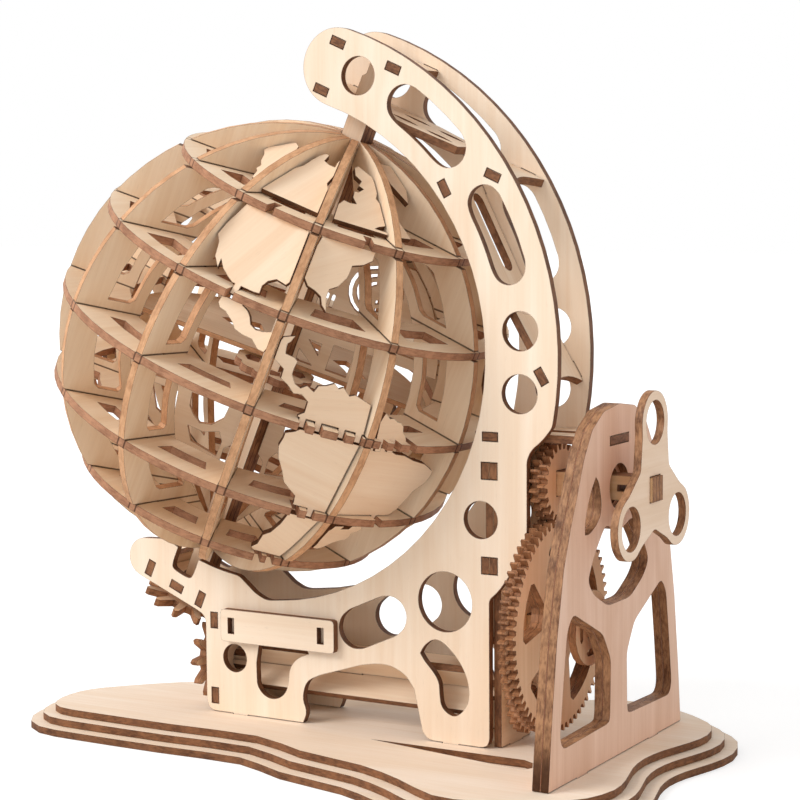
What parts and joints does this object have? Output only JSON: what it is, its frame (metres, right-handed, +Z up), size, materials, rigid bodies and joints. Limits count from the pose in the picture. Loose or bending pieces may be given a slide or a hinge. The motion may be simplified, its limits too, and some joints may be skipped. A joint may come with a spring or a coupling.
{
  "type": "wooden mechanical globe",
  "caption": "Plywood globe on a tilted post, turned by a hand crank through a staggered gear train, a long shaft and angled peg-tooth wheels on a stepped base.",
  "frame": {"origin": "centre of the overall box in plan, on the surface the base rests on", "axes": "+Z up, +X from the globe's low gear end to the crank, -Y the front with the nameplate"},
  "size_m": [0.277, 0.1788, 0.2772],
  "materials": {
    "side_plates": "raw birch plywood",
    "base": "raw birch plywood",
    "crank_panel": "raw birch plywood",
    "ribs": "raw birch plywood",
    "rings": "raw birch plywood",
    "land": "raw birch plywood",
    "gears": "raw birch plywood",
    "shafts": "raw birch plywood",
    "cross_pieces": "raw birch plywood"
  },
  "bodies": {
    "frame": {"base_bottom": "base", "base_middle": "base", "base_top": "base", "side_plate_front": "side_plates", "side_plate_rear": "side_plates", "nameplate": "side_plates", "head_bearing_lower": "cross_pieces", "head_bearing_upper": "cross_pieces", "band_spacer_inner": "cross_pieces", "band_spacer_upper": "cross_pieces", "band_spacer_lower": "cross_pieces", "arm_plate_outer": "cross_pieces", "arm_plate_inner": "cross_pieces", "arm_bearing": "cross_pieces", "tie_plate": "cross_pieces", "inner_panel_short": "cross_pieces", "inner_panel_tall": "cross_pieces", "left_bearing_plate": "cross_pieces", "crank_panel_inner": "crank_panel", "crank_panel_outer": "crank_panel"},
    "crank": {"crank_handle": "crank_panel", "crank_shaft": "shafts", "pinion_inner": "gears", "pinion_outer": "gears"},
    "wheel": {"wheel_inner": "gears", "wheel_outer": "gears", "wheel_shaft": "shafts", "wheel_hub": "gears", "stage_driver": "gears"},
    "drive": {"drive_strip_left": "shafts", "drive_strip_right": "shafts", "stage_follower": "gears", "crown_wheel": "gears"},
    "globe": {"axis_post": "shafts", "globe_wheel": "gears", "rib_01": "ribs", "rib_02": "ribs", "rib_03": "ribs", "rib_04": "ribs", "rib_05": "ribs", "rib_06": "ribs", "rib_07": "ribs", "rib_08": "ribs", "rib_09": "ribs", "rib_10": "ribs", "rib_11": "ribs", "rib_12": "ribs", "ring_arctic": "rings", "ring_north": "rings", "ring_equator": "rings", "ring_south": "rings", "ring_antarctic": "rings", "canada_west": "land", "canada_east": "land", "america_west": "land", "america_east": "land", "south_america_north": "land", "south_america_west": "land", "south_america_east": "land", "patagonia": "land"}
  },
  "joints": [
    {"name": "globe_spin", "type": "hinge", "parent": "frame", "child": "globe", "pos_m": [-0.0345, 0, 0.155], "axis": [0.3987, 0, 0.9171], "continuous": true},
    {"name": "drive_spin", "type": "hinge", "parent": "frame", "child": "drive", "pos_m": [-0.0345, 0, 0.028], "axis": [1, 0, 0], "continuous": true},
    {"name": "wheel_spin", "type": "hinge", "parent": "frame", "child": "wheel", "pos_m": [0.0855, 0, 0.0555], "axis": [1, 0, 0], "continuous": true},
    {"name": "crank_spin", "type": "hinge", "parent": "frame", "child": "crank", "pos_m": [0.1055, 0, 0.1087], "axis": [1, 0, 0], "continuous": true}
  ],
  "couplings": [
    {"joint": "drive_spin", "follows": "globe_spin", "ratio": -1},
    {"joint": "wheel_spin", "follows": "globe_spin", "ratio": 1},
    {"joint": "crank_spin", "follows": "globe_spin", "ratio": -2.8333}
  ]
}
